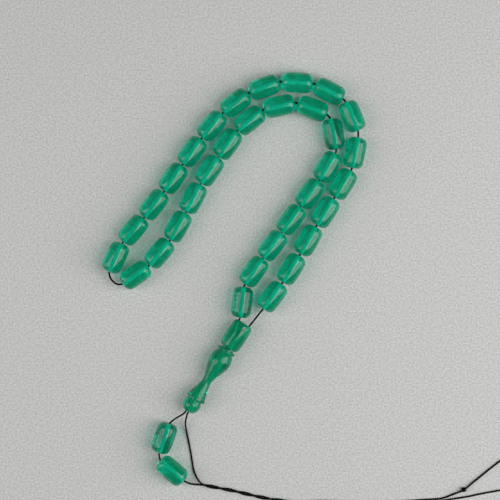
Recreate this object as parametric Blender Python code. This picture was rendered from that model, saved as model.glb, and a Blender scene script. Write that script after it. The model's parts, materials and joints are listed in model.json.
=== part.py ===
"""Misbaha: thirty-three barrel beads and a turned imame on one thread, with two free thread ends.

Metres, +Z up. The strand lies on the plane Z = 0 with its loop and imame centred on the origin.
Every turned piece is a lathe shape about its own Z axis, and each bead's origin is on the thread.
"""

import math

import bmesh
import bpy
from mathutils import Matrix, Vector

MM = 0.001
CLEARANCE = 0.0003
OVERRUN = 0.002  # how far a cutter runs past the face it enters by

# Barrel beads
BEAD_LENGTH = 0.01145
BEAD_DIAMETER = 0.0076
BEAD_SHOULDER = 0.0024
BEAD_FACE_DIAMETER = 0.0020
BEAD_SIDES = 16

# Thread, and the bores that take one strand or two side by side
THREAD_DIAMETER = 0.0007
THREAD_BORE = THREAD_DIAMETER + 2 * CLEARANCE
PAIR_BORE = 2 * THREAD_DIAMETER + 3 * CLEARANCE
STRAND_OFFSET = (THREAD_DIAMETER + CLEARANCE) / 2
KNOT_DIAMETER = 0.0018
KNOT_LENGTH = 0.0020
KNOT_SIDES = 10
THREAD_SPACING = 0.0020
LOOP_SPACING = 0.0009

# Imame: a three-hole head bead, and below it a pen with collar, belly, waist, flange and ball
HEAD_LENGTH = 0.0109
HEAD_DIAMETER = 0.0080
HEAD_SHOULDER = 0.0026
HEAD_FACE_DIAMETER = 0.0052
ENTRY_SPREAD = 0.0044
ENTRY_DEPTH = 0.0062
ENTRY_OVERLAP = 0.0006
NECK_DIAMETER = 0.0050
NECK_LENGTH = 0.0004
COLLAR_DIAMETER = 0.0070
COLLAR_WIDTH = 0.0012
GROOVE_DEPTH = 0.0005
GROOVE_WIDTH = 0.0006
BELLY_TOP_DIAMETER = 0.0068
BELLY_DIAMETER = 0.00834
BELLY_DROP = 0.0029
BELLY_FULLNESS = 0.0001
WAIST_DIAMETER = 0.0035
WAIST_DROP = 0.0119
FLANGE_DIAMETER = 0.0073
FLANGE_DROP = 0.0192
FLANGE_WIDTH = 0.0006
FLANGE_TAPER = 0.0001
FOOT_HOLLOW = 0.0002
BALL_DIAMETER = 0.0066
BALL_FACE_DIAMETER = 0.0034
IMAME_SIDES = 20

# Where the imame lies: the middle of its top face, and how far its axis turns from -Y towards -X
IMAME_TOP = Vector((0.0036, -0.0299))
IMAME_TURN = math.radians(32.9)

# The loop's route in plan, millimetres: up the inner strand, round the tip, down the outer strand.
# It is drawn for this bead size, and spreads away from the imame where the beads are larger.
ROUTE_BEAD_LENGTH = 0.01145
ROUTE_BEAD_DIAMETER = 0.0076
LOOP_ROUTE = [
    (2.1, -27.9), (3.5, -16.4), (10.6, -6.0), (17.5, 3.5), (24.2, 12.9), (31.3, 22.8), (37.3, 33.1),
    (35.6, 44.9), (34.0, 46.9), (23.7, 51.1), (12.3, 49.3), (2.4, 42.4), (-5.0, 32.4),
    (-12.0, 22.1), (-17.6, 11.5), (-23.4, 1.1), (-31.1, -8.3), (-41.1, -15.5), (-42.8, -15.7),
    (-44.6, -14.7), (-45.8, -13.0), (-46.2, -11.0), (-41.0, -0.1), (-33.1, 9.2), (-25.8, 18.7),
    (-19.1, 28.4), (-12.1, 38.1), (-3.7, 48.0), (6.5, 55.4), (18.3, 59.1), (30.7, 57.7),
    (41.1, 51.4), (45.5, 40.9), (45.5, 38.4), (43.0, 26.5), (36.7, 16.1), (30.2, 5.9),
    (24.1, -4.7), (17.6, -15.2), (10.5, -24.7),
]
# Runs of beads that touch: first and last point of the route, and how many beads share that stretch
BEAD_RUNS = [(0, 7, 7), (8, 17, 9), (21, 32, 11), (33, 39, 6)]

# The free ends' routes in plan, millimetres. The third number is the height of the thread's middle:
# 0 where it lies on the ground, 1 at a bead's axis. Each end runs alone from the imame's ball to the
# stretch where the two are twisted together, and alone again from there to its tip.
BEADED_START = [
    (-20.3, -64.1, 1.13), (-22.3, -65.4, 1.06), (-23.9, -66.8, 1.0), (-27.8, -78.1, 1.0),
    (-27.3, -80.6, 1.0), (-18.2, -88.2, 1.0), (-16.4, -89.2, 0.6), (-14.2, -89.8, 0.14),
]
BEADED_END = [
    (32.0, -97.2, 0.0), (46.0, -97.5, 0.0), (60.0, -97.3, 0.0), (72.0, -96.5, 0.0),
    (83.0, -94.9, 0.0), (86.7, -94.3, 0.0), (90.3, -93.5, 0.0), (94.0, -92.8, 0.0),
    (98.6, -92.0, 0.0),
]
PLAIN_START = [
    (-17.6, -64.2, 0.97), (-18.1, -66.3, 0.66), (-17.8, -70.0, 0.14), (-17.0, -74.0, 0.0),
    (-16.2, -78.4, 0.0), (-15.7, -81.4, 0.0), (-15.2, -84.2, 0.0), (-14.0, -87.2, 0.1),
    (-12.6, -89.1, 0.28),
]
PLAIN_END = [
    (32.0, -95.9, 0.0), (46.0, -96.2, 0.0), (60.0, -96.1, 0.0), (70.0, -95.5, 0.0),
    (77.5, -94.8, 0.0), (81.1, -93.4, 0.06), (84.8, -91.7, 0.19), (88.5, -88.9, 0.06),
    (94.0, -84.5, 0.0), (98.6, -80.9, 0.0),
]
TWIST_ROUTE = [(-11.0, -90.1), (-6.6, -91.0), (-1.7, -91.9), (3.1, -93.0), (8.6, -94.3), (18.0, -95.9)]
TWIST_PITCH = 0.0126
TAIL_BEADS = 2
TAIL_BEADS_START = 2
TAIL_BEAD_SLACK = 0.0003
KNOT_CORNER = 6

RESIN_GREEN = (0.012, 0.26, 0.14)
THREAD_BLACK = (0.010, 0.010, 0.011)


# ---------------------------------------------------------------- curves

def smooth_through(points, spacing):
    """Points about `spacing` apart on a smooth curve through every given point."""
    spans = [(b - a).length for a, b in zip(points, points[1:])]
    slopes = [(b - a) / span for a, b, span in zip(points, points[1:], spans)]
    tangents = [
        (slopes[i] * spans[i - 1] + slopes[i - 1] * spans[i]) / (spans[i] + spans[i - 1])
        for i in range(1, len(spans))
    ]
    tangents.insert(0, slopes[0] * 2 - tangents[0])
    tangents.append(slopes[-1] * 2 - tangents[-1])
    curve = []
    for i, span in enumerate(spans):
        steps = max(2, round(span / spacing))
        for k in range(steps):
            t = k / steps
            curve.append(
                points[i] * (2 * t**3 - 3 * t**2 + 1)
                + tangents[i] * (t**3 - 2 * t**2 + t) * span
                + points[i + 1] * (3 * t**2 - 2 * t**3)
                + tangents[i + 1] * (t**3 - t**2) * span
            )
    curve.append(points[-1])
    return curve


class Route:
    """A smooth path, measured by the distance along it."""

    def __init__(self, corners, floor=0.0):
        self.corners = corners
        self.points = smooth_through(corners, 0.0002)
        for point in self.points:
            point.z = max(point.z, floor)
        self.distances = [0.0]
        for a, b in zip(self.points, self.points[1:]):
            self.distances.append(self.distances[-1] + (b - a).length)

    def at(self, distance):
        """The point this far along, or straight on past the end."""
        low, high = 0, len(self.points) - 1
        while high - low > 1:
            middle = (low + high) // 2
            if self.distances[middle] <= distance:
                low = middle
            else:
                high = middle
        share = (distance - self.distances[low]) / (self.distances[high] - self.distances[low])
        return self.points[low].lerp(self.points[high], share)

    def to_corner(self, index):
        """The distance along the path to one of the corners it was drawn through."""
        gaps = [(point - self.corners[index]).length for point in self.points]
        return self.distances[gaps.index(min(gaps))]

    def chord(self, distance, length):
        """Where a straight piece of this length that starts here meets the path again."""
        start = self.at(distance)
        end = distance + length
        for _ in range(12):
            end += length - (self.at(end) - start).length
        return end

    def length(self):
        return self.distances[-1]

    def between(self, start, end, spacing):
        """Points strictly between two distances, about `spacing` apart."""
        steps = max(1, round((end - start) / spacing))
        return [self.at(start + (end - start) * k / steps) for k in range(1, steps)]


# ---------------------------------------------------------------- turned shapes

def barrel_outline(length, diameter, shoulder, face_diameter):
    """(height, radius) from one end face to the other: a straight middle and round shoulders."""
    half = length / 2
    drop = (diameter - face_diameter) / 2
    top = [
        (half - shoulder * (1 - math.cos(a)) ** 1.15, face_diameter / 2 + drop * math.sin(a))
        for a in (0.0, math.radians(32), math.radians(60), math.radians(90))
    ]
    return [(-height, radius) for height, radius in top] + top[::-1]


def pen_outline():
    """(height, radius) of the imame's pen from its neck, at 0, down to its ball's end face."""
    groove = GROOVE_WIDTH
    collar_top = -NECK_LENGTH
    collar_end = collar_top - COLLAR_WIDTH
    belly_top = collar_end - groove
    flange = belly_top - FLANGE_DROP
    rim = COLLAR_DIAMETER / 2
    edge = COLLAR_WIDTH / 4
    upper_radius = (BELLY_DIAMETER + WAIST_DIAMETER) / 4 + BELLY_FULLNESS
    lower_radius = (FLANGE_DIAMETER + WAIST_DIAMETER) / 4 - FOOT_HOLLOW
    outline = [
        (0.0, NECK_DIAMETER / 2),
        (collar_top, NECK_DIAMETER / 2),
        (collar_top - edge / 2, rim - edge),
        (collar_top - edge * 1.5, rim),
        (collar_end + edge * 1.5, rim),
        (collar_end + edge / 2, rim - edge),
        (collar_end - groove / 2, BELLY_TOP_DIAMETER / 2 - GROOVE_DEPTH),
    ]
    sweep = smooth_through(
        [
            Vector((belly_top, BELLY_TOP_DIAMETER / 2)),
            Vector((belly_top - BELLY_DROP, BELLY_DIAMETER / 2)),
            Vector((belly_top - (BELLY_DROP + WAIST_DROP) / 2, upper_radius)),
            Vector((belly_top - WAIST_DROP, WAIST_DIAMETER / 2)),
            Vector((belly_top - (WAIST_DROP + FLANGE_DROP) / 2, lower_radius)),
            Vector((flange, FLANGE_DIAMETER / 2)),
        ],
        0.0015,
    )
    outline += [(point.x, point.y) for point in sweep]
    flange_end = flange - FLANGE_WIDTH
    neck = BALL_DIAMETER / 2 - GROOVE_DEPTH
    outline += [(flange_end, FLANGE_DIAMETER / 2 - FLANGE_TAPER), (flange_end - groove / 2, neck)]
    radius = BALL_DIAMETER / 2
    start = math.asin(neck / radius)
    end = math.pi - math.asin(BALL_FACE_DIAMETER / BALL_DIAMETER)
    centre = flange_end - groove - radius * math.cos(start)
    for k in range(8):
        angle = start + (end - start) * k / 7
        outline.append((centre + radius * math.cos(angle), radius * math.sin(angle)))
    return outline[::-1]


def lathe(name, outline, sides, bore=None):
    """The outline (rising height, radius) turned about Z, flats outermost, solid or round a bore."""
    profile = list(outline)
    if bore:
        profile = [(outline[0][0], bore / 2)] + profile + [(outline[-1][0], bore / 2)]
    shape = bmesh.new()
    rings = []
    for height, radius in profile:
        corner = radius / math.cos(math.pi / sides)
        ring = []
        for k in range(sides):
            angle = 2 * math.pi * (k + 0.5) / sides
            ring.append(shape.verts.new((corner * math.cos(angle), corner * math.sin(angle), height)))
        rings.append(ring)
    joined = list(zip(rings, rings[1:]))
    if bore:
        joined.append((rings[-1], rings[0]))
    else:
        shape.faces.new(rings[0])
        shape.faces.new(rings[-1])
    for lower, upper in joined:
        for k in range(sides):
            n = (k + 1) % sides
            shape.faces.new((lower[k], lower[n], upper[n], upper[k]))
    bmesh.ops.recalc_face_normals(shape, faces=shape.faces)
    mesh = bpy.data.meshes.new(name)
    shape.to_mesh(mesh)
    shape.free()
    mesh.shade_smooth()
    mesh.set_sharp_from_angle(angle=math.radians(50))
    return mesh


# ---------------------------------------------------------------- objects

def material(name, colour, roughness):
    made = bpy.data.materials.new(name)
    made.use_nodes = True
    shader = made.node_tree.nodes["Principled BSDF"]
    shader.inputs["Base Color"].default_value = (*colour, 1.0)
    shader.inputs["Roughness"].default_value = roughness
    shader.inputs["Metallic"].default_value = 0.0
    made.diffuse_color = (*colour, 1.0)
    return made


def add(name, data, finish=None):
    made = bpy.data.objects.new(name, data)
    bpy.context.scene.collection.objects.link(made)
    if finish and not data.materials:
        data.materials.append(finish)
    return made


def aligned(origin, direction):
    """The placement that turns local Z along a direction and keeps local X as near to up as it can."""
    z = direction.normalized()
    y = z.cross(Vector((0, 0, 1))).normalized()
    x = y.cross(z)
    return Matrix.Translation(origin) @ Matrix((x, y, z)).transposed().to_4x4()


def seated(route, start, end):
    """The placement of a straight piece strung on a route between two distances."""
    return aligned((route.at(start) + route.at(end)) / 2, route.at(end) - route.at(start))


def thread(name, points, finish):
    """A round thread through the points, capped at both ends."""
    curve = bpy.data.curves.new(name, "CURVE")
    curve.dimensions = "3D"
    curve.bevel_depth = THREAD_DIAMETER / 2
    curve.bevel_resolution = 2
    curve.use_fill_caps = True
    spline = curve.splines.new("POLY")
    spline.points.add(len(points) - 1)
    for target, point in zip(spline.points, points):
        target.co = (*point, 1.0)
    return add(name, curve, finish)


def cutter(name, start, end, diameter, target):
    """A round hole through a target, from start to end in the target's own frame."""
    turned = (end - start).to_track_quat("Z", "Y").to_matrix().to_4x4()
    shape = bmesh.new()
    bmesh.ops.create_cone(
        shape, cap_ends=True, segments=12, radius1=diameter / 2, radius2=diameter / 2,
        depth=(end - start).length, matrix=Matrix.Translation((start + end) / 2) @ turned,
    )
    mesh = bpy.data.meshes.new(name)
    shape.to_mesh(mesh)
    shape.free()
    made = add(name, mesh)
    made.parent = target
    made.hide_render = True
    made.display_type = "WIRE"
    cut = target.modifiers.new(name, "BOOLEAN")
    cut.operation = "DIFFERENCE"
    cut.object = made


# ---------------------------------------------------------------- the strand

def bead_gap(turn):
    """Bare thread between two beads whose axes differ by this angle, so that their ends just clear."""
    outline = barrel_outline(BEAD_LENGTH, BEAD_DIAMETER, BEAD_SHOULDER, BEAD_FACE_DIAMETER)
    reach = max(
        radius * math.sin(turn / 2) - (BEAD_LENGTH / 2 - height) * math.cos(turn / 2)
        for height, radius in outline
    )
    return CLEARANCE + 2 * reach


def string_run(route, start, count, slack):
    """(start, end) distances of a run of beads strung one after another along the route."""
    placed = []
    for _ in range(count):
        end = route.chord(start, BEAD_LENGTH)
        placed.append((start, end))
        heading = route.at(end) - route.at(start)
        start = end + CLEARANCE
        for _ in range(4):
            following = route.at(route.chord(start, BEAD_LENGTH)) - route.at(start)
            start = end + bead_gap(heading.angle(following)) + slack
    return placed


def string_loop(route):
    """Every bead of the loop. A run's spare thread is shared evenly between its beads."""
    placed = []
    for first, last, count in BEAD_RUNS:
        start = route.to_corner(first)
        limit = route.to_corner(last)
        low, high = 0.0, BEAD_LENGTH
        for _ in range(24):
            slack = (low + high) / 2
            if string_run(route, start, count, slack)[-1][1] > limit:
                high = slack
            else:
                low = slack
        placed += string_run(route, start, count, low)
    return placed


def thread_points(route, held, spacing):
    """Thread points along a route: straight inside each held piece, curved on the bare stretches."""
    stops = [0.0] + [distance for pair in held for distance in pair] + [route.length()]
    points = []
    for k, (start, end) in enumerate(zip(stops, stops[1:])):
        if end - start < CLEARANCE / 3:
            continue
        points.append(route.at(start))
        if k % 2 == 0:
            points += route.between(start, end, spacing)
    points.append(route.at(stops[-1]))
    return points


def on_ground(x, y, lift=0.0):
    """A point of a free end's middle line, from its plan in millimetres and its height number."""
    low, high = THREAD_DIAMETER / 2 + CLEARANCE / 10, BEAD_DIAMETER / 2
    return Vector((x * MM, y * MM, low + lift * (high - low)))


def twist(side):
    """Corners of one strand of the twisted stretch: side is 1 for the one that starts on top."""
    lift = Vector((0, 0, STRAND_OFFSET))
    middle = Route([on_ground(x, y) + lift for x, y in TWIST_ROUTE])
    steps = round(middle.length() / TWIST_PITCH * 8)
    corners = []
    for k in range(steps + 1):
        distance = middle.length() * k / steps
        turn = 2 * math.pi * distance / TWIST_PITCH
        along = middle.at(distance + CLEARANCE) - middle.at(distance - CLEARANCE)
        left = Vector((-along.y, along.x, 0)).normalized()
        offset = lift * math.cos(turn) - left * STRAND_OFFSET * math.sin(turn)
        corners.append(middle.at(distance) + offset * side)
    return corners


def tail_route(mouth, direction, start, side, end):
    """The path of a free end: out of the ball along the imame's axis, its start, the twist, its end."""
    corners = [mouth + direction * CLEARANCE, mouth + direction * 4 * CLEARANCE]
    corners += [on_ground(*corner) for corner in start]
    corners += twist(side)
    corners += [on_ground(*corner) for corner in end]
    return Route(corners, on_ground(0, 0).z)


def build():
    for old in list(bpy.data.objects):
        bpy.data.objects.remove(old)

    resin = material("resin_green", RESIN_GREEN, 0.12)
    leader_resin = material("leader_resin_green", RESIN_GREEN, 0.10)
    black = material("thread_black", THREAD_BLACK, 0.75)
    knot_black = material("knot_black", THREAD_BLACK, 0.8)

    # Imame, with its belly on the ground
    down = Vector((-math.sin(IMAME_TURN), -math.cos(IMAME_TURN), 0))
    across = Vector((math.cos(IMAME_TURN), -math.sin(IMAME_TURN), 0))
    top = Vector((*IMAME_TOP, BELLY_DIAMETER / 2))
    head_outline = barrel_outline(HEAD_LENGTH, HEAD_DIAMETER, HEAD_SHOULDER, HEAD_FACE_DIAMETER)
    pen_profile = pen_outline()
    pen_start = HEAD_LENGTH + CLEARANCE
    imame_end = pen_start - pen_profile[0][0]
    head = add("imame_head", lathe("imame_head", head_outline, IMAME_SIDES), leader_resin)
    head.matrix_world = aligned(top + down * HEAD_LENGTH / 2, -down)
    pen = add("imame_pen", lathe("imame_pen", pen_profile, IMAME_SIDES, PAIR_BORE), leader_resin)
    pen.matrix_world = aligned(top + down * pen_start, -down)

    # Bores of the head: one hole for each strand through the top, which meet in the bore for both
    middle = HEAD_LENGTH / 2
    meeting = Vector((0, 0, middle - ENTRY_DEPTH))
    below = Vector((0, 0, -middle - OVERRUN))
    cutter("cut_head_bore", below, meeting, PAIR_BORE, head)
    for side, name in ((-1, "left"), (1, "right")):
        # The head's local Y points across the imame, to the left.
        inner = meeting + Vector((0, -side * STRAND_OFFSET, -ENTRY_OVERLAP))
        entry = Vector((0, -side * ENTRY_SPREAD / 2, middle))
        beyond = entry + (entry - inner).normalized() * OVERRUN
        cutter(f"cut_head_{name}", inner, beyond, THREAD_BORE + CLEARANCE / 3, head)

    # Loop
    spread = max(BEAD_LENGTH / ROUTE_BEAD_LENGTH, BEAD_DIAMETER / ROUTE_BEAD_DIAMETER)
    corners = []
    for x, y in LOOP_ROUTE:
        plan = IMAME_TOP + (Vector((x, y)) * MM - IMAME_TOP) * spread
        corners.append(Vector((*plan, BEAD_DIAMETER / 2)))
    route = Route(corners)
    placed = string_loop(route)
    outline = barrel_outline(BEAD_LENGTH, BEAD_DIAMETER, BEAD_SHOULDER, BEAD_FACE_DIAMETER)
    bead_mesh = lathe("barrel_bead", outline, BEAD_SIDES, THREAD_BORE)
    for number, (start, end) in enumerate(placed, start=1):
        bead = add(f"bead_{number:02d}", bead_mesh, resin)
        bead.matrix_world = seated(route, start, end)

    # Loop thread: up through the imame, round the loop, and down through the imame again
    strands = []
    for side in (-1, 1):
        offset = across * side * STRAND_OFFSET
        strands.append([
            top + down * imame_end + offset,
            top + down * (ENTRY_DEPTH + ENTRY_OVERLAP) + offset,
            top + across * side * ENTRY_SPREAD / 2,
        ])
    loop_points = strands[0] + thread_points(route, placed, LOOP_SPACING) + strands[1][::-1]
    thread("loop_thread", loop_points, black)

    # Free ends
    beaded = tail_route(strands[0][0], down, BEADED_START, -1, BEADED_END)
    first = beaded.to_corner(2 + TAIL_BEADS_START)
    tail_beads = string_run(beaded, first, TAIL_BEADS, TAIL_BEAD_SLACK)
    for number, (start, end) in enumerate(tail_beads, start=1):
        bead = add(f"tail_bead_{number}", bead_mesh, resin)
        bead.matrix_world = seated(beaded, start, end)
    thread("tail_thread_beaded", thread_points(beaded, tail_beads, THREAD_SPACING), black)
    plain = tail_route(strands[1][0], down, PLAIN_START, 1, PLAIN_END)
    knot_start = plain.to_corner(KNOT_CORNER - len(PLAIN_END)) - KNOT_LENGTH / 2
    knot_end = plain.chord(knot_start, KNOT_LENGTH)
    thread("tail_thread_plain", thread_points(plain, [(knot_start, knot_end)], THREAD_SPACING), black)
    knot_outline = barrel_outline(KNOT_LENGTH, KNOT_DIAMETER, KNOT_LENGTH / 3, KNOT_DIAMETER * 0.8)
    knot = add("tail_knot", lathe("tail_knot", knot_outline, KNOT_SIDES, THREAD_BORE), knot_black)
    knot.matrix_world = seated(plain, knot_start, knot_end)


build()
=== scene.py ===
"""Misbaha prayer beads: the finished strand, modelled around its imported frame.

Metres, +Z up, in the frame's own axes. The strand lies on the plane Z = 0. Every turned piece is
modelled upright about Z and then laid where its frame node lies.
"""

import json
import logging
import math
import random
from dataclasses import dataclass, field
from enum import Enum

import bpy
from mathutils import Matrix, Vector


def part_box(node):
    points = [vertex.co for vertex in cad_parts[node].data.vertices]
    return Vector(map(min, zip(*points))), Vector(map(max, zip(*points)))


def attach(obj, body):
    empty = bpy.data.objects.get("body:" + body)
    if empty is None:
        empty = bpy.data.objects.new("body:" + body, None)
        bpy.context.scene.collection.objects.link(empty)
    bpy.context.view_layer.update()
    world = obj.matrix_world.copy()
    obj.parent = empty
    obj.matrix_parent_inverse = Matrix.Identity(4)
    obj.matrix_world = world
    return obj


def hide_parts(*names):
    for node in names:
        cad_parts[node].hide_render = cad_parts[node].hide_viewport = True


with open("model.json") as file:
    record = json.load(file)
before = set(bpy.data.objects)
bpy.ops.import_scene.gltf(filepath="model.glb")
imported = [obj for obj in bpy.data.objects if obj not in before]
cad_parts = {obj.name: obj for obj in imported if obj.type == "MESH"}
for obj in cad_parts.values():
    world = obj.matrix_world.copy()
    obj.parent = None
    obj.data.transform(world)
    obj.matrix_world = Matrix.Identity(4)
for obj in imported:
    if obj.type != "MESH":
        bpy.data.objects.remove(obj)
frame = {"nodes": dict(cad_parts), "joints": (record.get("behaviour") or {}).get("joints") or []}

MM = 0.001
STRAND_BODY = "strand"
LOOP_BEADS = [f"bead_{number:02d}" for number in range(1, 34)]
TAIL_BEADS = ["tail_bead_1", "tail_bead_2"]
LATHE_COORDS = "lathe"
TONE = "tone"
BORE_SLOT = 1
SHARP_TURN = 50  # degrees between two faces that count as a rim
WELD = 1e-6

Colour = tuple[float, float, float]
Socket = bpy.types.NodeSocket
Outline = list[tuple[float, float]]

log = logging.getLogger("misbaha")


# ---------------------------------------------------------------- choices


class Clarity(Enum):
    """How cloudy the resin of a turned piece is."""

    CLOUDY = "cloudy"
    CLEAR = "clear"
    LEADER = "leader"


class Strand(Enum):
    """The two thread ends below the leader. The value is the side that each starts on."""

    BEADED = -1
    PLAIN = 1


# ---------------------------------------------------------------- paths


def smooth_through(points: list[Vector], spacing: float) -> list[Vector]:
    """Draws a smooth curve through every given point.

    Args:
        points: The points that the curve passes through, in order.
        spacing: About how far apart the curve's own points are.

    Returns:
        The curve's points, from the first given point to the last.
    """
    spans = [(b - a).length for a, b in zip(points, points[1:])]
    slopes = [(b - a) / span for a, b, span in zip(points, points[1:], spans)]
    tangents = [
        (slopes[i] * spans[i - 1] + slopes[i - 1] * spans[i]) / (spans[i] + spans[i - 1])
        for i in range(1, len(spans))
    ]
    tangents.insert(0, slopes[0] * 2 - tangents[0])
    tangents.append(slopes[-1] * 2 - tangents[-1])
    curve = []
    for i, span in enumerate(spans):
        steps = max(2, round(span / spacing))
        for k in range(steps):
            t = k / steps
            curve.append(
                points[i] * (2 * t**3 - 3 * t**2 + 1)
                + tangents[i] * (t**3 - 2 * t**2 + t) * span
                + points[i + 1] * (3 * t**2 - 2 * t**3)
                + tangents[i + 1] * (t**3 - t**2) * span
            )
    curve.append(points[-1])
    return curve


class Route:
    """A smooth path, measured by the distance along it."""

    FINENESS = 0.0002

    def __init__(self, corners: list[Vector], floor: float = 0.0) -> None:
        """Draws the path through its corners.

        Args:
            corners: The points that the path is drawn through.
            floor: The lowest that any point of the path may be.
        """
        self.points = smooth_through(corners, self.FINENESS)
        for point in self.points:
            point.z = max(point.z, floor)
        self.distances = [0.0]
        for a, b in zip(self.points, self.points[1:]):
            self.distances.append(self.distances[-1] + (b - a).length)

    def length(self) -> float:
        """The path's whole length."""
        return self.distances[-1]

    def at(self, distance: float) -> Vector:
        """Finds the point this far along, or straight on past the end.

        Args:
            distance: How far along the path.

        Returns:
            The point there.
        """
        low, high = 0, len(self.points) - 1
        while high - low > 1:
            middle = (low + high) // 2
            if self.distances[middle] <= distance:
                low = middle
            else:
                high = middle
        share = (distance - self.distances[low]) / (self.distances[high] - self.distances[low])
        return self.points[low].lerp(self.points[high], share)

    def nearest(self, place: Vector) -> float:
        """Finds how far along the path a place is.

        Args:
            place: A point on the path or close to it.

        Returns:
            The distance along the path to the point nearest to it.
        """
        gaps = [(point - place).length_squared for point in self.points]
        return self.distances[gaps.index(min(gaps))]

    def strung(self, pieces: list["Seat"]) -> list[Vector]:
        """Lays a thread along the path, straight inside each piece that it runs through.

        Args:
            pieces: The pieces on the thread, in the order it meets them.

        Returns:
            Corners of the thread's middle line.
        """
        line = []
        reached = 0.0
        for seat in pieces:
            ends = sorted(seat.ends(), key=self.nearest)
            line += self.between(reached, self.nearest(ends[0]))
            line += ends
            reached = self.nearest(ends[1])
        return line + self.between(reached, self.length())

    def between(self, start: float, end: float) -> list[Vector]:
        """Reads the bare thread between two distances, clear of the pieces at each end.

        Args:
            start: Where the bare stretch starts.
            end: Where it ends.

        Returns:
            Points on the path, none where the stretch is very short.
        """
        spacing = 0.0009
        steps = max(1, round((end - start) / spacing))
        first = 0 if start == 0.0 else 1
        last = steps + 1 if end == self.length() else steps
        return [self.at(start + (end - start) * k / steps) for k in range(first, last)]


# ---------------------------------------------------------------- places in the frame


@dataclass(frozen=True)
class Seat:
    """Where a turned piece lies: its middle, its axis and its length."""

    middle: Vector
    axis: Vector
    length: float

    @classmethod
    def of_node(cls, node: str, axis: Vector) -> "Seat":
        """Measures a node along an axis.

        Args:
            node: A frame node that is turned about the axis.
            axis: The axis's direction.

        Returns:
            The node's seat.
        """
        direction = axis.normalized()
        corners = [vertex.co for vertex in frame["nodes"][node].data.vertices]
        low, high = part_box(node)
        centre = (low + high) / 2
        heights = [(corner - centre).dot(direction) for corner in corners]
        middle = centre + direction * (min(heights) + max(heights)) / 2
        return cls(middle, direction, max(heights) - min(heights))

    def ends(self) -> list[Vector]:
        """The middles of the two end faces."""
        half = self.axis * self.length / 2
        return [self.middle - half, self.middle + half]

    def placement(self) -> Matrix:
        """The placement that turns Z along the axis and keeps X as near to up as it can."""
        z = self.axis
        y = z.cross(Vector((0, 0, 1))).normalized()
        x = y.cross(z)
        return Matrix.Translation(self.middle) @ Matrix((x, y, z)).transposed().to_4x4()


def joint_axis(child: str) -> Vector:
    """The axis of the joint that carries a body."""
    return next(Vector(joint["axis"]) for joint in frame["joints"] if joint["child"] == child)


# ---------------------------------------------------------------- modelling


def only(piece: bpy.types.Object) -> None:
    """Deselects everything, then selects one piece and makes it the active one.

    Args:
        piece: The piece.
    """
    bpy.ops.object.select_all(action="DESELECT")
    piece.select_set(True)
    bpy.context.view_layer.objects.active = piece


def turned(name: str, outline: Outline, sides: int, bore: float = 0.0) -> bpy.types.Object:
    """Turns an outline about Z by drawing one ring out from station to station.

    Args:
        name: The piece's name.
        outline: (height, radius) of each station, from the lower end face to the upper one.
        sides: How many sides the ring has.
        bore: The diameter of a hole right through the piece, or 0 for none.

    Returns:
        The piece, closed, with its faces pointing out.
    """
    stations = list(outline)
    if bore:
        stations = [(outline[0][0], bore / 2)] + stations + [(outline[-1][0], bore / 2)]
        stations.append(stations[0])
    bpy.ops.object.select_all(action="DESELECT")
    bpy.ops.mesh.primitive_circle_add(
        vertices=sides, radius=stations[0][1], location=(0, 0, stations[0][0])
    )
    piece = bpy.context.object
    piece.name = piece.data.name = name
    bpy.ops.object.mode_set(mode="EDIT")
    bpy.ops.mesh.select_all(action="SELECT")
    for (height, radius), (next_height, next_radius) in zip(stations, stations[1:]):
        rise = {"value": (0, 0, next_height - height)}
        bpy.ops.mesh.extrude_region_move(TRANSFORM_OT_translate=rise)
        widen = next_radius / radius
        bpy.ops.transform.resize(value=(widen, widen, 1), center_override=(0, 0, next_height))
    bpy.ops.mesh.select_all(action="SELECT")
    bpy.ops.mesh.remove_doubles(threshold=WELD)
    if not bore:
        bpy.ops.mesh.select_all(action="SELECT")
        bpy.ops.mesh.fill_holes(sides=0)
    bpy.ops.mesh.select_all(action="SELECT")
    bpy.ops.mesh.normals_make_consistent(inside=False)
    bpy.ops.object.mode_set(mode="OBJECT")
    bpy.ops.object.transform_apply(location=True, rotation=True, scale=True)
    return piece


def ease_rims(piece: bpy.types.Object, width: float, angle: float) -> None:
    """Rounds the rims that are sharper than an angle, and shades the rest smooth.

    Args:
        piece: The piece to finish.
        width: How wide the rounding is.
        angle: The sharpest turn, in degrees, that still counts as smooth.
    """
    only(piece)
    bevel = piece.modifiers.new("eased_rims", "BEVEL")
    bevel.width = width
    bevel.segments = 3
    bevel.limit_method = "ANGLE"
    bevel.angle_limit = math.radians(angle)
    bpy.ops.object.modifier_apply(modifier=bevel.name)
    bpy.ops.object.shade_smooth_by_angle(angle=math.radians(angle))


def mark_bore(piece: bpy.types.Object, bore: float) -> None:
    """Puts the wall of the bore along Z in the slot for drilled holes.

    Args:
        piece: The piece, upright at the origin.
        bore: The bore's diameter.
    """
    for face in piece.data.polygons:
        if math.hypot(face.center.x, face.center.y) < bore / 2:
            face.material_index = BORE_SLOT


def drill(piece: bpy.types.Object, start: Vector, end: Vector, diameter: float) -> None:
    """Drills a round hole in a piece, and puts its wall in the slot for drilled holes.

    Args:
        piece: The piece to drill.
        start: Where the drill stops, inside the piece.
        end: Where it comes in, outside the piece.
        diameter: The hole's diameter.
    """
    bpy.ops.object.select_all(action="DESELECT")
    bpy.ops.mesh.primitive_cylinder_add(
        vertices=24,
        radius=diameter / 2,
        depth=(end - start).length,
        location=(start + end) / 2,
        rotation=(end - start).to_track_quat("Z", "Y").to_euler(),
    )
    bit = bpy.context.object
    for material in piece.data.materials:
        bit.data.materials.append(material)
    bit.data.polygons.foreach_set("material_index", [BORE_SLOT] * len(bit.data.polygons))
    only(piece)
    cut = piece.modifiers.new("hole", "BOOLEAN")
    cut.operation = "DIFFERENCE"
    cut.object = bit
    bpy.ops.object.modifier_apply(modifier=cut.name)
    bpy.data.objects.remove(bit)


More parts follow.
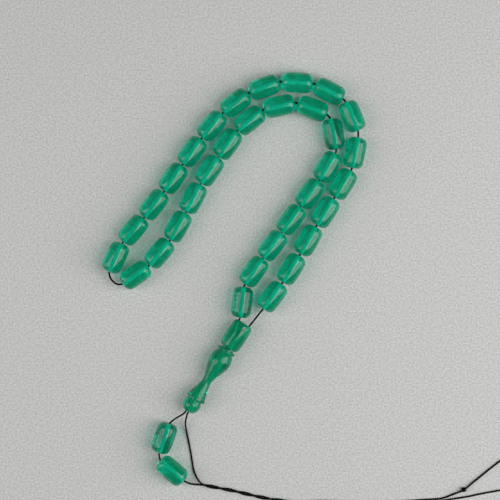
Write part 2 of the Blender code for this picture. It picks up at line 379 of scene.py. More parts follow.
def keep_lathe_coords(piece: bpy.types.Object) -> None:
    """Keeps each point's place on the lathe, so that a pattern turns and moves with the piece.

    Args:
        piece: The piece, upright at the origin.
    """
    mesh = piece.data
    kept = mesh.attributes.new(LATHE_COORDS, "FLOAT_VECTOR", "POINT")
    for entry, vertex in zip(kept.data, mesh.vertices):
        entry.vector = vertex.co


def set_tone(piece: bpy.types.Object, tone: float) -> None:
    """Gives a whole piece its own tone, from 0 for the deepest batch to 1 for the palest.

    Args:
        piece: The piece.
        tone: Its tone.
    """
    mesh = piece.data
    kept = mesh.attributes.new(TONE, "FLOAT", "POINT")
    kept.data.foreach_set("value", [tone] * len(mesh.vertices))


def laid_copy(pattern: bpy.types.Object, name: str, seat: Seat) -> bpy.types.Object:
    """Copies a turned piece with a mesh of its own, and lays the copy in its seat.

    Args:
        pattern: The piece to copy.
        name: The copy's name.
        seat: Where the copy lies.

    Returns:
        The copy, with its place in its mesh.
    """
    only(pattern)
    bpy.ops.object.duplicate(linked=False)
    copy = bpy.context.object
    copy.name = copy.data.name = name
    copy.data.transform(seat.placement())
    return copy


# ---------------------------------------------------------------- shader groups


class NodeKit:
    """Adds nodes to one tree and links them."""

    def __init__(self, tree: bpy.types.NodeTree) -> None:
        """Works on one node tree."""
        self.tree = tree

    def add(self, kind: str, settings: dict | None = None, **inputs: object) -> bpy.types.Node:
        """Adds a node.

        Args:
            kind: Blender's name of the node's type.
            settings: The node's own settings, by name.
            **inputs: A value or an output socket for each input, by its name, with _ for a space.

        Returns:
            The node.
        """
        node = self.tree.nodes.new(kind)
        for name, value in (settings or {}).items():
            setattr(node, name, value)
        self.feed_named(node, inputs)
        return node

    def feed(self, socket: Socket, value: object) -> None:
        """Links an output socket to an input, or sets the input's value.

        Args:
            socket: The input.
            value: The output socket or the value.
        """
        if isinstance(value, Socket):
            self.tree.links.new(value, socket)
        else:
            socket.default_value = value

    def feed_named(self, node: bpy.types.Node, inputs: dict[str, object]) -> None:
        """Feeds a node's inputs by their names, with _ for a space."""
        for name, value in inputs.items():
            self.feed(node.inputs[name.replace("_", " ")], value)

    def surface(self, **inputs: object) -> None:
        """Feeds the inputs of the material's own shader, by name, with _ for a space."""
        self.feed_named(self.tree.nodes["Principled BSDF"], inputs)

    def results(self, **inputs: object) -> None:
        """Feeds what a group puts out, by name."""
        self.feed_named(self.tree.nodes["out"], inputs)

    def kept(self, attribute: str) -> bpy.types.bpy_prop_collection:
        """The outputs of a value that the mesh keeps."""
        return self.add("ShaderNodeAttribute", {"attribute_name": attribute}).outputs

    def place(self) -> Socket:
        """The point's place on the object."""
        return self.add("ShaderNodeTexCoord").outputs["Object"]

    def noise(self, settings: dict | None = None, **inputs: object) -> Socket:
        """A noise pattern, with settings and inputs as for add."""
        return self.add("ShaderNodeTexNoise", settings, **inputs).outputs["Fac"]

    def maths(self, operation: str, *values: object, kind: str = "ShaderNodeMath") -> Socket:
        """Works out one value from others.

        Args:
            operation: Blender's name of the operation.
            *values: The numbers or sockets that it takes, in order.
            kind: Blender's name of the node's type.

        Returns:
            The result's socket.
        """
        node = self.add(kind, {"operation": operation})
        for socket, value in zip(node.inputs, values):
            self.feed(socket, value)
        return node.outputs[0]

    def mix(self, share: object, first: object, second: object) -> Socket:
        """Mixes two colours.

        Args:
            share: How much of the second colour there is.
            first: The first colour, or the socket that gives it.
            second: The second colour, or the socket that gives it.

        Returns:
            The mixed colour's socket.
        """
        node = self.add("ShaderNodeMix", {"data_type": "RGBA"})
        for number, value in {0: share, 6: first, 7: second}.items():
            self.feed(node.inputs[number], value)
        return node.outputs[2]

    def spread(
        self, value: Socket, low: float, high: float, least: float = 0.0, most: float = 1.0
    ) -> Socket:
        """Stretches a value from one range to another, and stops it at the range's ends.

        Args:
            value: The socket that gives the value.
            low: The value that becomes least.
            high: The value that becomes most.
            least: The lowest result.
            most: The highest result.

        Returns:
            The result's socket.
        """
        node = self.add("ShaderNodeMapRange")
        for socket, number in zip(node.inputs, (value, low, high, least, most)):
            self.feed(socket, number)
        return node.outputs["Result"]


def opaque(colour: Colour) -> tuple[float, ...]:
    """A colour as a colour socket takes it."""
    return (*colour, 1.0)


def new_material(name: str) -> tuple[bpy.types.Material, NodeKit]:
    """Starts a material, with a node kit on its tree.

    Args:
        name: The material's name.

    Returns:
        The material and the node kit.
    """
    made = bpy.data.materials.new(name)
    made.use_nodes = True
    return made, NodeKit(made.node_tree)


def new_group(name: str, inputs: dict[str, tuple[str, object]], outputs: dict[str, str]) -> NodeKit:
    """Starts a shader node group.

    Args:
        name: The group's name.
        inputs: For each input, its socket type and its usual value.
        outputs: For each output, its socket type.

    Returns:
        A node kit on the group's tree, with its input and output nodes named "in" and "out".
    """
    tree = bpy.data.node_groups.new(name, "ShaderNodeTree")
    for label, (kind, value) in inputs.items():
        tree.interface.new_socket(label, in_out="INPUT", socket_type=kind).default_value = value
    for label, kind in outputs.items():
        tree.interface.new_socket(label, in_out="OUTPUT", socket_type=kind)
    kit = NodeKit(tree)
    kit.add("NodeGroupInput").name = "in"
    kit.add("NodeGroupOutput").name = "out"
    return kit


def resin_clouds() -> bpy.types.NodeTree:
    """Makes the group that clouds cast resin.

    Returns:
        A group whose colour drifts between a deep and a bright green in wisps along the piece, and
        is a little paler on a piece with a higher tone.
    """
    colour, number = "NodeSocketColor", "NodeSocketFloat"
    kit = new_group(
        "resin_clouds",
        {
            "Deep": (colour, (0, 0.2, 0.1, 1)),
            "Bright": (colour, (0, 0.4, 0.24, 1)),
            "Milk": (colour, (0.1, 0.6, 0.45, 1)),
            "Wisp Scale": (number, 300.0),
            "Milkiness": (number, 0.3),
        },
        {"Colour": colour},
    )
    given = kit.tree.nodes["in"].outputs
    vector = "ShaderNodeVectorMath"
    lathe = kit.kept(LATHE_COORDS)["Vector"]
    drawn_out = kit.maths("MULTIPLY", lathe, (1.0, 1.0, 0.4), kind=vector)
    wisps = kit.noise(
        Vector=kit.maths("ADD", drawn_out, kit.place(), kind=vector),
        Scale=given["Wisp Scale"], Detail=3.0, Roughness=0.55, Distortion=0.8,
    )
    green = kit.mix(kit.spread(wisps, 0.35, 0.65), given["Deep"], given["Bright"])
    milky = kit.maths("MULTIPLY", kit.kept(TONE)["Fac"], given["Milkiness"])
    kit.results(Colour=kit.mix(milky, green, given["Milk"]))
    return kit.tree


def handled_polish() -> bpy.types.NodeTree:
    """Makes the group that wears polished resin as fingers do.

    Returns:
        A group that gives roughness, with smudges and fine turning lines, and the height of the
        shallow waves that hand polishing leaves.
    """
    number = "NodeSocketFloat"
    kit = new_group(
        "handled_polish",
        {
            "Polish": (number, 0.08),
            "Smudge": (number, 0.1),
            "Smudge Scale": (number, 500.0),
            "Line Scale": (number, 9000.0),
        },
        {"Roughness": number, "Height": number},
    )
    given = kit.tree.nodes["in"].outputs
    lathe = kit.kept(LATHE_COORDS)["Vector"]
    smudges = kit.noise(Vector=kit.place(), Scale=given["Smudge Scale"], Detail=4.0, Roughness=0.6)
    along = kit.add("ShaderNodeSeparateXYZ", Vector=lathe).outputs["Z"]
    lines = kit.noise({"noise_dimensions": "1D"}, W=along, Scale=given["Line Scale"], Detail=2.0)
    waves = kit.noise(Vector=lathe, Scale=700.0, Detail=1.0)
    rubbed = kit.maths("MULTIPLY", kit.spread(smudges, 0.45, 0.8), given["Smudge"])
    line_height = 0.06
    kit.results(
        Roughness=kit.maths("ADD", rubbed, given["Polish"]),
        Height=kit.maths("MULTIPLY_ADD", lines, line_height, waves),
    )
    return kit.tree


def spun_fibre() -> bpy.types.NodeTree:
    """Makes the group for dyed spun fibre.

    Returns:
        A group that gives a colour with paler worn fibres, and the height of the fibres.
    """
    colour, number = "NodeSocketColor", "NodeSocketFloat"
    kit = new_group(
        "spun_fibre",
        {
            "Dye": (colour, (0.01, 0.01, 0.01, 1)),
            "Worn": (colour, (0.05, 0.05, 0.05, 1)),
            "Fibre Scale": (number, 12000.0),
        },
        {"Colour": colour, "Height": number},
    )
    given = kit.tree.nodes["in"].outputs
    place = kit.place()
    fibres = kit.noise(Vector=place, Scale=given["Fibre Scale"], Detail=3.0, Distortion=1.5)
    wear = kit.noise(Vector=place, Scale=900.0, Detail=2.0)
    worn = kit.spread(wear, 0.35, 0.7, 0.1, 0.9)
    share = kit.maths("MULTIPLY", kit.spread(fibres, 0.5, 0.75), worn)
    kit.results(Colour=kit.mix(share, given["Dye"], given["Worn"]), Height=fibres)
    return kit.tree


# ---------------------------------------------------------------- finishes


@dataclass(frozen=True)
class ResinFinish:
    """Cast, turned and polished resin."""

    name: str
    deep: Colour
    bright: Colour
    milk: Colour
    milkiness: float
    clearness: float
    polish: float
    wisp_scale: float = 260.0
    smudge: float = 0.03
    glow: float = 0.55
    glow_depth: float = 2.2 * MM
    glow_reach: Colour = (0.3, 1.0, 0.7)

    def material(self, clouds: bpy.types.NodeTree, polish: bpy.types.NodeTree) -> bpy.types.Material:
        """Makes the material.

        Args:
            clouds: The resin_clouds group.
            polish: The handled_polish group.

        Returns:
            The material.
        """
        made, kit = new_material(self.name)
        body = kit.add(
            "ShaderNodeGroup", {"node_tree": clouds},
            Deep=opaque(self.deep), Bright=opaque(self.bright), Milk=opaque(self.milk),
            Wisp_Scale=self.wisp_scale, Milkiness=self.milkiness,
        )
        skin = kit.add(
            "ShaderNodeGroup", {"node_tree": polish}, Polish=self.polish, Smudge=self.smudge
        )
        bump = kit.add(
            "ShaderNodeBump", Height=skin.outputs["Height"], Strength=0.25, Distance=0.03 * MM
        )
        kit.surface(
            Base_Color=body.outputs["Colour"], Roughness=skin.outputs["Roughness"],
            Normal=bump.outputs["Normal"], IOR=1.5, Transmission_Weight=self.clearness,
            Subsurface_Weight=self.glow, Subsurface_Radius=self.glow_reach,
            Subsurface_Scale=self.glow_depth,
        )
        return made


@dataclass(frozen=True)
class DrilledFinish:
    """The frosted wall that a drill leaves in resin."""

    name: str
    colour: Colour
    roughness: float
    mark_scale: float = 2500.0
    mark_depth: float = 0.8
    shine: float = 0.1

    def material(self) -> bpy.types.Material:
        """Makes the material."""
        made, kit = new_material(self.name)
        marks = kit.noise(Vector=kit.kept(LATHE_COORDS)["Vector"], Scale=self.mark_scale, Detail=2.0)
        scored = tuple(part * self.mark_depth for part in self.colour)
        wall = kit.mix(kit.spread(marks, 0.35, 0.65), opaque(scored), opaque(self.colour))
        kit.surface(Base_Color=wall, Roughness=self.roughness, Specular_IOR_Level=self.shine)
        return made


@dataclass(frozen=True)
class ThreadFinish:
    """Dyed, spun and lightly waxed thread."""

    name: str
    dye: Colour
    worn: Colour
    roughness: float
    shine: float = 0.12

    def material(self, fibre: bpy.types.NodeTree) -> bpy.types.Material:
        """Makes the material.

        Args:
            fibre: The spun_fibre group.

        Returns:
            The material.
        """
        made, kit = new_material(self.name)
        yarn = kit.add(
            "ShaderNodeGroup", {"node_tree": fibre}, Dye=opaque(self.dye), Worn=opaque(self.worn)
        )
        bump = kit.add(
            "ShaderNodeBump", Height=yarn.outputs["Height"], Strength=0.5, Distance=0.04 * MM
        )
        kit.surface(
            Base_Color=yarn.outputs["Colour"], Normal=bump.outputs["Normal"],
            Roughness=self.roughness, Specular_IOR_Level=self.shine,
        )
        return made


@dataclass(frozen=True)
class TableFinish:
    """The fine-grained pale board that the strand lies on."""

    name: str
    pale: Colour
    dark: Colour
    roughness: float
    grain_scale: float = 1500.0
    shine: float = 0.2

    def material(self) -> bpy.types.Material:
        """Makes the material."""
        made, kit = new_material(self.name)
        grain = kit.noise(Vector=kit.place(), Scale=self.grain_scale, Detail=3.0)
        speckle = kit.mix(kit.spread(grain, 0.3, 0.7), opaque(self.dark), opaque(self.pale))
        kit.surface(Base_Color=speckle, Roughness=self.roughness, Specular_IOR_Level=self.shine)
        return made


CLOUDY_RESIN = ResinFinish(
    "cloudy_green_resin", deep=(0.0, 0.74, 0.46), bright=(0.0, 0.90, 0.62),
    milk=(0.03, 0.94, 0.72), milkiness=0.3, clearness=0.85, polish=0.03,
)
CLEAR_RESIN = ResinFinish(
    "clear_green_resin", deep=(0.01, 0.66, 0.44), bright=(0.02, 0.80, 0.56),
    milk=(0.06, 0.88, 0.68), milkiness=0.4, clearness=1.0, polish=0.02, glow=0.3,
)
LEADER_RESIN = ResinFinish(
    "leader_green_resin", deep=(0.0, 0.60, 0.35), bright=(0.0, 0.80, 0.52),
    milk=(0.02, 0.88, 0.64), milkiness=0.3, clearness=0.85, polish=0.03, wisp_scale=200.0,
)
# The bead bores' pale mint is partly the frosted drill wall's own colour and partly a painted
# highlight: it is raised to stand in for the bright glint line that a bore shows through a clear bead.
FROSTED_BORE_AND_PAINTED_GLINT = DrilledFinish("drilled_bead_resin", colour=(0.16, 0.98, 0.80), roughness=0.55)
DRILLED_LEADER = DrilledFinish("drilled_leader_resin", colour=(0.0, 0.72, 0.46), roughness=0.55)
BLACK_THREAD = ThreadFinish(
    "black_thread", dye=(0.001, 0.001, 0.001), worn=(0.006, 0.006, 0.006), roughness=0.62
)
BLACK_KNOT = ThreadFinish(
    "black_knot", dye=(0.002, 0.002, 0.002), worn=(0.01, 0.01, 0.01), roughness=0.7
)
PALE_TABLE = TableFinish(
    "pale_table", pale=(0.92, 0.915, 0.90), dark=(0.62, 0.615, 0.60), roughness=0.8
)


# ---------------------------------------------------------------- beads


def barrel_outline(
    length: float, diameter: float, shoulder: float, face: float, crown: float
) -> Outline:
    """Draws half a barrel: a gently crowned middle between two round shoulders.

    Args:
        length: From end face to end face.
        diameter: Across the middle.
        shoulder: How far from an end face its shoulder reaches.
        face: The diameter of an end face.
        crown: How much smaller the radius is where a shoulder starts than in the middle.

    Returns:
        (height, radius) from the lower end face to the upper one.
    """
    half = length / 2
    edge = diameter / 2 - crown
    drop = edge - face / 2
    stations, softness = 12, 1.15
    top = []
    for k in range(stations + 1):
        angle = math.pi / 2 * k / stations
        height = half - shoulder * (1 - math.cos(angle)) ** softness
        top.append((height, face / 2 + drop * math.sin(angle)))
    straight = half - shoulder
    middle = [
        (straight * share, edge + crown * (1 - share**2)) for share in (0.8, 0.6, 0.4, 0.2)
    ]
    upper = top + middle
    return [(-height, radius) for height, radius in upper] + [(0.0, diameter / 2)] + upper[::-1]


@dataclass
class BarrelBeads:
    """The loop's beads and the two on the free thread end, all turned to one pattern."""

    diameter: float = 7.56 * MM
    shoulder: float = 2.4 * MM
    face: float = 1.9 * MM
    bore: float = 1.3 * MM
    crown: float = 0.1 * MM
    rim: float = 0.09 * MM
    sides: int = 56
    seed: int = 33
    clear: tuple[str, ...] = ("bead_01", "bead_07", "tail_bead_1")
    finishes: dict[Clarity, bpy.types.Material] = field(default_factory=dict)
    drilled: bpy.types.Material | None = None

    def model(self, length: float) -> bpy.types.Object:
        """Turns the bead that the others are copied from.

        Args:
            length: The bead's length.

        Returns:
            The bead, upright at the origin.
        """
        outline = barrel_outline(length, self.diameter, self.shoulder, self.face, self.crown)
        pattern = turned("barrel_pattern", outline, self.sides, self.bore)
        ease_rims(pattern, self.rim, SHARP_TURN)
        mark_bore(pattern, self.bore)
        keep_lathe_coords(pattern)
        return pattern

    def dress(self, bead: bpy.types.Object, node: str, tone: float) -> None:
        """Gives a bead its resin.

        Args:
            bead: The bead.
            node: The frame node that it stands for.
            tone: How pale its batch is.
        """
        clarity = Clarity.CLEAR if node in self.clear else Clarity.CLOUDY
        bead.data.materials.append(self.finishes[clarity])
        bead.data.materials.append(self.drilled)
        set_tone(bead, tone)

    def build(self) -> dict[str, bpy.types.Object]:
        """Makes every bead.

        Returns:
            Each bead by the name of the frame node it stands for.
        """
        chance = random.Random(self.seed)
        seats = {node: Seat.of_node(node, joint_axis(node)) for node in LOOP_BEADS + TAIL_BEADS}
        pattern = self.model(seats[LOOP_BEADS[0]].length)
        beads = {}
        for node, seat in seats.items():
            bead = laid_copy(pattern, node.replace("bead", "barrel"), seat)
            self.dress(bead, node, chance.random())
            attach(bead, node)
            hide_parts(node)
            beads[node] = bead
        bpy.data.objects.remove(pattern)
        log.info("beads: %d barrels of %.2f mm", len(beads), seats[LOOP_BEADS[0]].length / MM)
        return beads


# ---------------------------------------------------------------- leader


@dataclass
class Leader:
    """The imame that gathers both ends of the loop: a head bead and, below it, the turned pen."""

    head_diameter: float = 7.96 * MM
    head_shoulder: float = 2.6 * MM
    head_face: float = 5.2 * MM
    head_crown: float = 0.08 * MM
    head_rim: float = 0.07 * MM
    head_tone: float = 0.35
    pair_bore: float = 2.3 * MM
    entry_bore: float = 1.4 * MM
    entry_spread: float = 4.4 * MM
    entry_depth: float = 6.2 * MM
    entry_overlap: float = 0.6 * MM
    overrun: float = 2.0 * MM
    strand_offset: float = 0.5 * MM
    neck_diameter: float = 5.0 * MM
    neck_length: float = 0.4 * MM
    collar_diameter: float = 7.0 * MM
    collar_width: float = 1.2 * MM
    groove_depth: float = 0.5 * MM
    groove_width: float = 0.6 * MM
    belly_top_diameter: float = 6.8 * MM
    belly_diameter: float = 8.32 * MM
    belly_drop: float = 2.9 * MM
    belly_fullness: float = 0.1 * MM
    waist_diameter: float = 3.5 * MM
    waist_drop: float = 11.9 * MM
    flange_diameter: float = 7.3 * MM
    flange_drop: float = 19.2 * MM
    flange_width: float = 0.6 * MM
    flange_taper: float = 0.1 * MM
    foot_hollow: float = 0.2 * MM
    ball_diameter: float = 6.6 * MM
    ball_face: float = 3.4 * MM
    pen_rim: float = 0.05 * MM
    pen_tone: float = 0.3
    sides: int = 64
    finish: bpy.types.Material | None = None
    drilled: bpy.types.Material | None = None

    def pen_outline(self) -> Outline:
        """Draws the pen from its ball's end face, up through the belly, to its neck at height 0.

        Returns:
            (height, radius) of each station, from the ball's end face upwards.
        """
        collar_top = -self.neck_length
        collar_end = collar_top - self.collar_width
        belly_top = collar_end - self.groove_width
        flange = belly_top - self.flange_drop
        rim = self.collar_diameter / 2
        edge = self.collar_width / 3
        outline = [(0.0, self.neck_diameter / 2), (collar_top, self.neck_diameter / 2)]
        outline += self.rounded_rim(collar_top, collar_end, rim, edge)
        outline.append((collar_end, self.belly_top_diameter / 2 - self.groove_depth))
        groove_middle = collar_end - self.groove_width / 2
        outline.append((groove_middle, self.belly_top_diameter / 2 - self.groove_depth * 1.2))
        outline += self.vase(belly_top, flange)
        flange_end = flange - self.flange_width
        neck = self.ball_diameter / 2 - self.groove_depth
        outline += [
            (flange - self.flange_width * 0.5, self.flange_diameter / 2),
            (flange_end, self.flange_diameter / 2 - self.flange_taper),
            (flange_end - self.groove_width / 3, neck),
        ]
        outline += self.ball(flange_end, neck)
        return outline[::-1]

    def rounded_rim(self, top: float, end: float, radius: float, edge: float) -> Outline:
        """Draws a disc's outer rim, rounded at both corners.

        Args:
            top: The height of the disc's upper face.
            end: The height of its lower face.
            radius: The disc's radius.
            edge: The radius of the rounding.

        Returns:
            (height, radius) from the upper face to the lower one.
        """
        rim = []
        steps = 4
        for corner, start in ((top - edge, 0), (end + edge, math.pi / 2)):
            for k in range(steps + 1):
                angle = start + math.pi / 2 * k / steps
                rim.append((corner + edge * math.cos(angle), radius - edge + edge * math.sin(angle)))
        return rim

    def vase(self, top: float, flange: float) -> Outline:
        """Draws the belly, the waist and the foot that flares to the flange.

        Args:
            top: The height at which the belly starts.
            flange: The height of the flange's upper face.

        Returns:
            (height, radius) from the belly down to the flange.
        """
        shape = [
            (top, self.belly_top_diameter / 2),
            (top - self.belly_drop, self.belly_diameter / 2),
            (
                top - (self.belly_drop + self.waist_drop) / 2,
                (self.belly_diameter + self.waist_diameter) / 4 + self.belly_fullness,
            ),
            (top - self.waist_drop, self.waist_diameter / 2),
            (
                top - (self.waist_drop + self.flange_drop) / 2,
                (self.flange_diameter + self.waist_diameter) / 4 - self.foot_hollow,
            ),
            (flange, self.flange_diameter / 2),
        ]
        spacing = 0.35 * MM
        line = smooth_through([Vector(point) for point in shape], spacing)
        return [(point.x, point.y) for point in line]

    def ball(self, flange_end: float, neck: float) -> Outline:
        """Draws the end ball, from its neck under the flange to its end face.

        Args:
            flange_end: The height of the flange's lower face.
            neck: The radius of the neck under it.

        Returns:
            (height, radius) from the neck down to the end face.
        """
        radius = self.ball_diameter / 2
        start = math.asin(neck / radius)
        end = math.pi - math.asin(self.ball_face / self.ball_diameter)
        centre = flange_end - self.groove_width - radius * math.cos(start)
        steps = 26
        angles = [start + (end - start) * k / steps for k in range(steps + 1)]
        return [(centre + radius * math.cos(angle), radius * math.sin(angle)) for angle in angles]

    def build_head(self, seat: Seat) -> bpy.types.Object:
        """Turns and drills the head bead.

        Args:
            seat: Where the head lies, with its axis pointing at the loop.

        Returns:
            The head.
        """
        outline = barrel_outline(
            seat.length, self.head_diameter, self.head_shoulder, self.head_face, self.head_crown
        )
        head = turned("leader_head_pattern", outline, self.sides)
        self.dress(head)
        top = seat.length / 2
        meeting = Vector((0, 0, top - self.entry_depth))
        drill(head, meeting, Vector((0, 0, -top - self.overrun)), self.pair_bore)
        for side in (-1, 1):
            inner = meeting + Vector((0, side * self.strand_offset, -self.entry_overlap))
            entry = Vector((0, side * self.entry_spread / 2, top))
            outside = entry + (entry - inner).normalized() * self.overrun
            drill(head, inner, outside, self.entry_bore)
        ease_rims(head, self.head_rim, SHARP_TURN)
        keep_lathe_coords(head)
        return self.finished(head, "leader_head", "imame_head", STRAND_BODY, seat, self.head_tone)

    def build_pen(self, seat: Seat) -> bpy.types.Object:
        """Turns the pen.

        Args:
            seat: Where the pen lies, with its axis pointing at the loop.

        Returns:
            The pen.
        """
        pen = turned("leader_pen_pattern", self.pen_outline(), self.sides, self.pair_bore)
        self.dress(pen)
        ease_rims(pen, self.pen_rim, SHARP_TURN)
        mark_bore(pen, self.pair_bore)
        pen.data.transform(Matrix.Translation((0, 0, seat.length / 2)))
        keep_lathe_coords(pen)
        return self.finished(pen, "leader_pen", "imame_pen", "imame_pen", seat, self.pen_tone)

    def dress(self, piece: bpy.types.Object) -> None:
        """Gives a piece its resin, and its holes the look of drilled resin."""
        piece.data.materials.append(self.finish)
        piece.data.materials.append(self.drilled)

    def finished(
        self, pattern: bpy.types.Object, name: str, node: str, body: str, seat: Seat, tone: float
    ) -> bpy.types.Object:
        """Lays a piece of the leader in its seat, names it, hangs it on its body and hides the frame
        node that it stands for.

        Args:
            pattern: The piece, upright at the origin.
            name: The finished piece's name.
            node: The frame node that it stands for.
            body: The frame body that it rides on.
            seat: Where it lies.
            tone: How pale its resin is.

        Returns:
            The finished piece.
        """
        piece = laid_copy(pattern, name, seat)
        bpy.data.objects.remove(pattern)
        set_tone(piece, tone)
        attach(piece, body)
        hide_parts(node)
        log.info("leader: %s, %.1f mm long", name, seat.length / MM)
        return piece

    def build(self) -> list[bpy.types.Object]:
        """Makes the head and the pen."""
        return [self.build_head(self.head_seat()), self.build_pen(self.pen_seat())]

    def head_seat(self) -> Seat:
        """Where the head lies, with its axis pointing at the loop."""
        return Seat.of_node("imame_head", joint_axis("imame_pen"))

    def pen_seat(self) -> Seat:
        """Where the pen lies: as long as its node, and in line with the head.

        Returns:
            The pen's seat.
        """
        head = self.head_seat()
        pen = Seat.of_node("imame_pen", head.axis)
        drop = (pen.middle - head.middle).dot(head.axis)
        return Seat(head.middle + head.axis * drop, head.axis, pen.length)

    def down(self) -> Vector:
        """The leader's direction, away from the loop."""
        return -self.head_seat().axis

    def mouth(self, side: int) -> Vector:
        """The middle of one strand, on side -1 or 1 of the leader, where it leaves the ball."""
        return self.pen_seat().ends()[0] + self.across() * side * self.strand_offset

    def across(self) -> Vector:
        """The level direction across the leader, towards the outer strand's side."""
        return self.head_seat().axis.cross(Vector((0, 0, 1))).normalized()

    def strand_through(self, side: int) -> list[Vector]:
        """Draws one strand's way through the leader.

        Args:
            side: -1 or 1, across the leader.

        Returns:
            The middle line's corners, from the ball's mouth to the head's top.
        """
        head = self.head_seat()
        top = head.ends()[1]
        offset = self.across() * side * self.strand_offset
        return [
            self.mouth(side),
            top - head.axis * (self.entry_depth + self.entry_overlap) + offset,
            top + self.across() * side * self.entry_spread / 2,
        ]


# ---------------------------------------------------------------- thread


@dataclass
class Thread:
    """The one black thread: the stretch that the loop holds, its two free ends, and a knot."""

    diameter: float = 0.7 * MM
    clearance: float = 0.3 * MM
    bead_axis_height: float = 3.8 * MM
    lay: float = 1.9 * MM
    lobes: int = 3
    lobe_depth: float = 0.06
    profile_sides: int = 12
    step: float = 0.24 * MM
    tip_share: float = 0.15
    twist_pitch: float = 12.6 * MM
    twist_offset: float = 0.37 * MM
    twist_corners: int = 8
    knot_coil: float = 0.56 * MM
    knot_turns: float = 2.6
    knot_steps: int = 60
    knot_swell: float = 0.12
    knot_tips: float = 0.5
    finish: bpy.types.Material | None = None
    knot_finish: bpy.types.Material | None = None

    # The loop's route in plan, millimetres: up the inner strand, round the tip, down the outer one.
    LOOP_ROUTE = (
        (2.1, -27.9), (3.5, -16.4), (10.6, -6.0), (17.5, 3.5), (24.2, 12.9), (31.3, 22.8), (37.3, 33.1),
        (35.6, 44.9), (34.0, 46.9), (23.7, 51.1), (12.3, 49.3), (2.4, 42.4), (-5.0, 32.4),
        (-12.0, 22.1), (-17.6, 11.5), (-23.4, 1.1), (-31.1, -8.3), (-41.1, -15.5), (-42.8, -15.7),
        (-44.6, -14.7), (-45.8, -13.0), (-46.2, -11.0), (-41.0, -0.1), (-33.1, 9.2), (-25.8, 18.7),
        (-19.1, 28.4), (-12.1, 38.1), (-3.7, 48.0), (6.5, 55.4), (18.3, 59.1), (30.7, 57.7),
        (41.1, 51.4), (45.5, 40.9), (45.5, 38.4), (43.0, 26.5), (36.7, 16.1), (30.2, 5.9),
        (24.1, -4.7), (17.6, -15.2), (10.5, -24.7),
    )
    # The free ends' routes in plan, millimetres. The third number is the height of the thread's
    # middle: 0 where it lies on the ground, 1 at a bead's axis.
    STARTS = {
        Strand.BEADED: (
            (-20.3, -64.1, 1.13), (-22.3, -65.4, 1.06), (-23.9, -66.8, 1.0), (-27.8, -78.1, 1.0),
            (-27.3, -80.6, 1.0), (-18.2, -88.2, 1.0), (-16.4, -89.2, 0.6), (-14.2, -89.8, 0.14),
        ),
        Strand.PLAIN: (
            (-17.6, -64.2, 0.97), (-18.1, -66.3, 0.66), (-17.8, -70.0, 0.14), (-17.0, -74.0, 0.0),
            (-16.2, -78.4, 0.0), (-15.7, -81.4, 0.0), (-15.2, -84.2, 0.0), (-14.0, -87.2, 0.1),
            (-12.6, -89.1, 0.28),
        ),
    }
    TWIST_ROUTE = (
        (-11.0, -90.1), (-6.6, -91.0), (-1.7, -91.9), (3.1, -93.0), (8.6, -94.3), (18.0, -95.9),
    )
    ENDS = {
        Strand.BEADED: (
            (32.0, -97.2, 0.0), (46.0, -97.5, 0.0), (60.0, -97.3, 0.0), (72.0, -96.5, 0.0),
            (83.0, -94.9, 0.0), (86.7, -94.3, 0.0), (90.3, -93.5, 0.0), (94.0, -92.8, 0.0),
            (98.6, -92.0, 0.0),
        ),
        Strand.PLAIN: (
            (32.0, -95.9, 0.0), (46.0, -96.2, 0.0), (60.0, -96.1, 0.0), (70.0, -95.5, 0.0),
            (77.5, -94.8, 0.0), (81.1, -93.4, 0.06), (84.8, -91.7, 0.19), (88.5, -88.9, 0.06),
            (94.0, -84.5, 0.0), (98.6, -80.9, 0.0),
        ),
    }

    def on_ground(self, x: float, y: float, lift: float = 0.0) -> Vector:
        """A point of a free end's middle line, from its plan in millimetres and its lift."""
        low = self.diameter / 2 + self.clearance / 10
        return Vector((x * MM, y * MM, low + lift * (self.bead_axis_height - low)))

    def twisted(self, strand: Strand) -> list[Vector]:
        """Corners of one strand where the two free ends are twisted together.

        Args:
            strand: Which of the two ends.

        Returns:
            The corners, as many to each full turn as twist_corners says.
        """
        lift = Vector((0, 0, self.twist_offset))
        middle = Route([self.on_ground(x, y) + lift for x, y in self.TWIST_ROUTE])
        steps = round(middle.length() / self.twist_pitch * self.twist_corners)
        corners = []
        for k in range(steps + 1):
            distance = middle.length() * k / steps
            turn = 2 * math.pi * distance / self.twist_pitch
            along = middle.at(distance + self.clearance) - middle.at(distance - self.clearance)
            left = Vector((-along.y, along.x, 0)).normalized()
            offset = lift * math.cos(turn) - left * self.twist_offset * math.sin(turn)
            corners.append(middle.at(distance) + offset * strand.value)
        return corners

    def free_end(self, strand: Strand, leader: Leader) -> Route:
        """Draws the route of a free end.

        Args:
            strand: Which of the two ends.
            leader: The leader that it comes out of.

        Returns:
            The route, from just outside the ball to the thread's tip.
        """
        mouth = leader.mouth(strand.value)
        corners = [mouth + leader.down() * self.clearance * gaps for gaps in (1, 4)]
        corners += [self.on_ground(*corner) for corner in self.STARTS[strand]]
        corners += self.twisted(strand)
        corners += [self.on_ground(*corner) for corner in self.ENDS[strand]]
        return Route(corners, self.on_ground(0, 0).z)

    def profile(self) -> bpy.types.Object:
        """Draws the cross-section of a laid thread, with one lobe for each ply.

        Returns:
            The section, as a closed flat curve.
        """
        curve = bpy.data.curves.new("thread_section", "CURVE")
        curve.dimensions = "2D"
        spline = curve.splines.new("POLY")
        spline.points.add(self.profile_sides - 1)
        for k, point in enumerate(spline.points):
            angle = 2 * math.pi * k / self.profile_sides
            share = 1 - self.lobe_depth * (1 - math.cos(self.lobes * angle)) / 2
            radius = self.diameter / 2 * share
            point.co = (radius * math.cos(angle), radius * math.sin(angle), 0, 1)
        spline.use_cyclic_u = True
        section = bpy.data.objects.new("thread_section", curve)
        bpy.context.scene.collection.objects.link(section)
        return section

